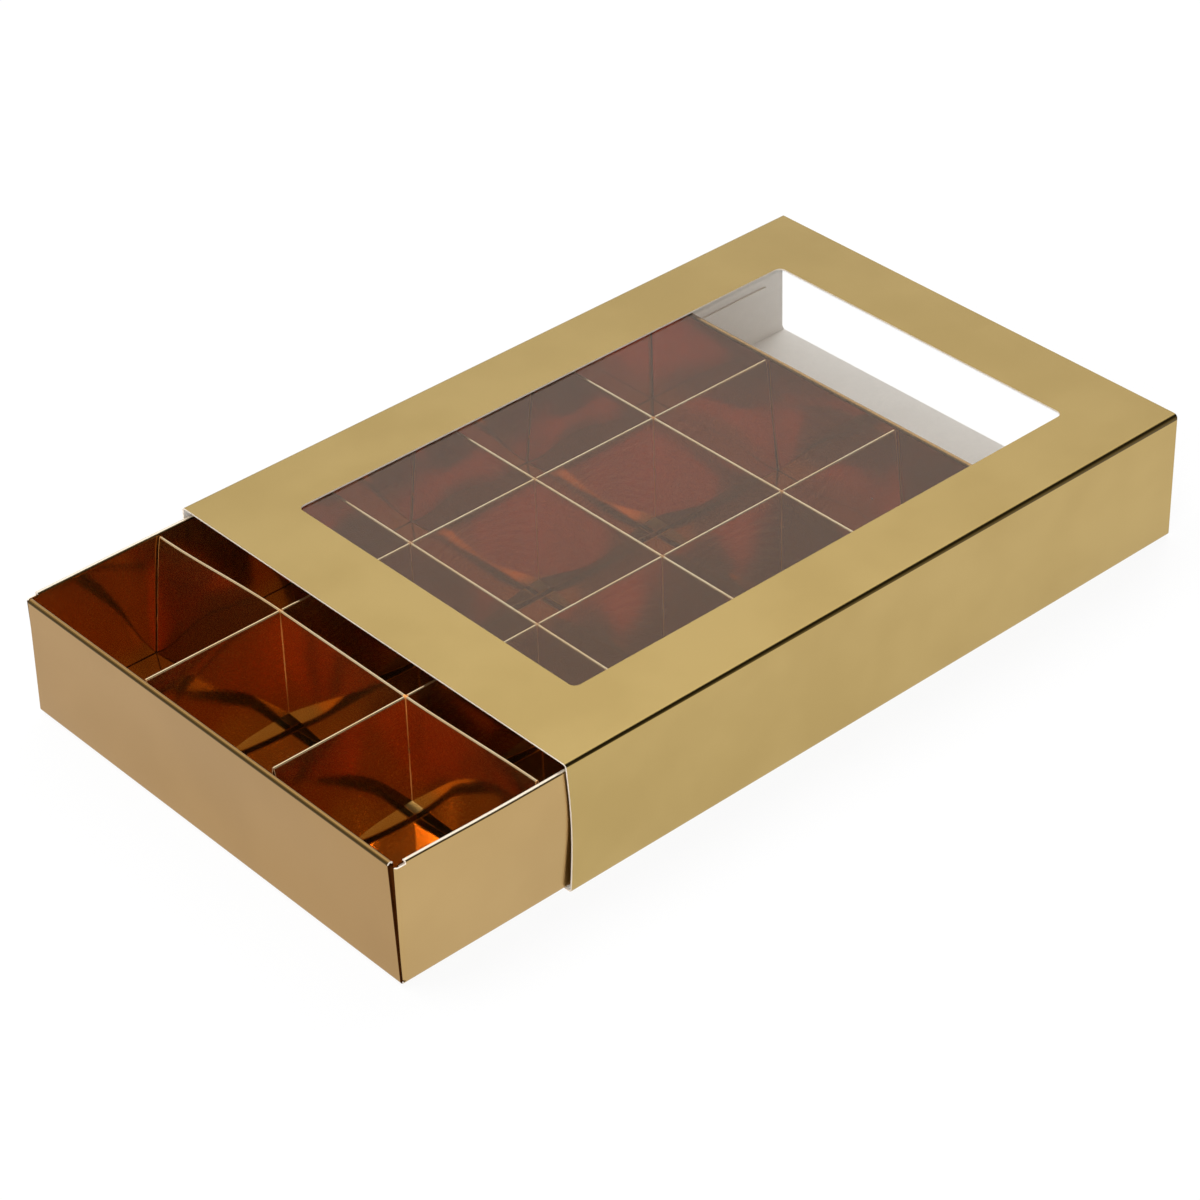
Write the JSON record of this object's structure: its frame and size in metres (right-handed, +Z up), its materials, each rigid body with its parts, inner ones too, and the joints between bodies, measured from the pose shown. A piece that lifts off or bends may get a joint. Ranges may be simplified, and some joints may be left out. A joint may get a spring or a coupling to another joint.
{
  "type": "sliding chocolate box",
  "caption": "Gold foil board chocolate box: a windowed sleeve, open at both ends, over a sliding tray parted into cells.",
  "frame": {"origin": "middle of the sleeve's underside", "axes": "+X along the slide, away from the end where the tray is drawn out; +Y across the box, towards the glued seam; +Z up"},
  "size_m": [0.2226, 0.125, 0.0324],
  "materials": {
    "sleeve_foil_board": "satin gold foil outside, pale uncoated board inside",
    "tray_foil_board": "bright gold foil on both sides",
    "divider_foil_board": "bright gold foil",
    "clear_film": "clear, glossy",
    "adhesive": "dried adhesive"
  },
  "bodies": {
    "sleeve": {"sleeve": "sleeve_foil_board", "seam_glue": "adhesive", "window_film": "clear_film", "window_glue": "adhesive"},
    "tray": {"tray": "tray_foil_board", "long_divider_1": "divider_foil_board", "long_divider_2": "divider_foil_board", "cross_divider_1": "divider_foil_board", "cross_divider_2": "divider_foil_board", "cross_divider_3": "divider_foil_board", "cross_divider_4": "divider_foil_board"}
  },
  "joints": [
    {"name": "tray_slide", "type": "slide", "parent": "sleeve", "child": "tray", "axis": [-1, 0, 0], "range_m": [-0.2226, 0.1358]}
  ]
}
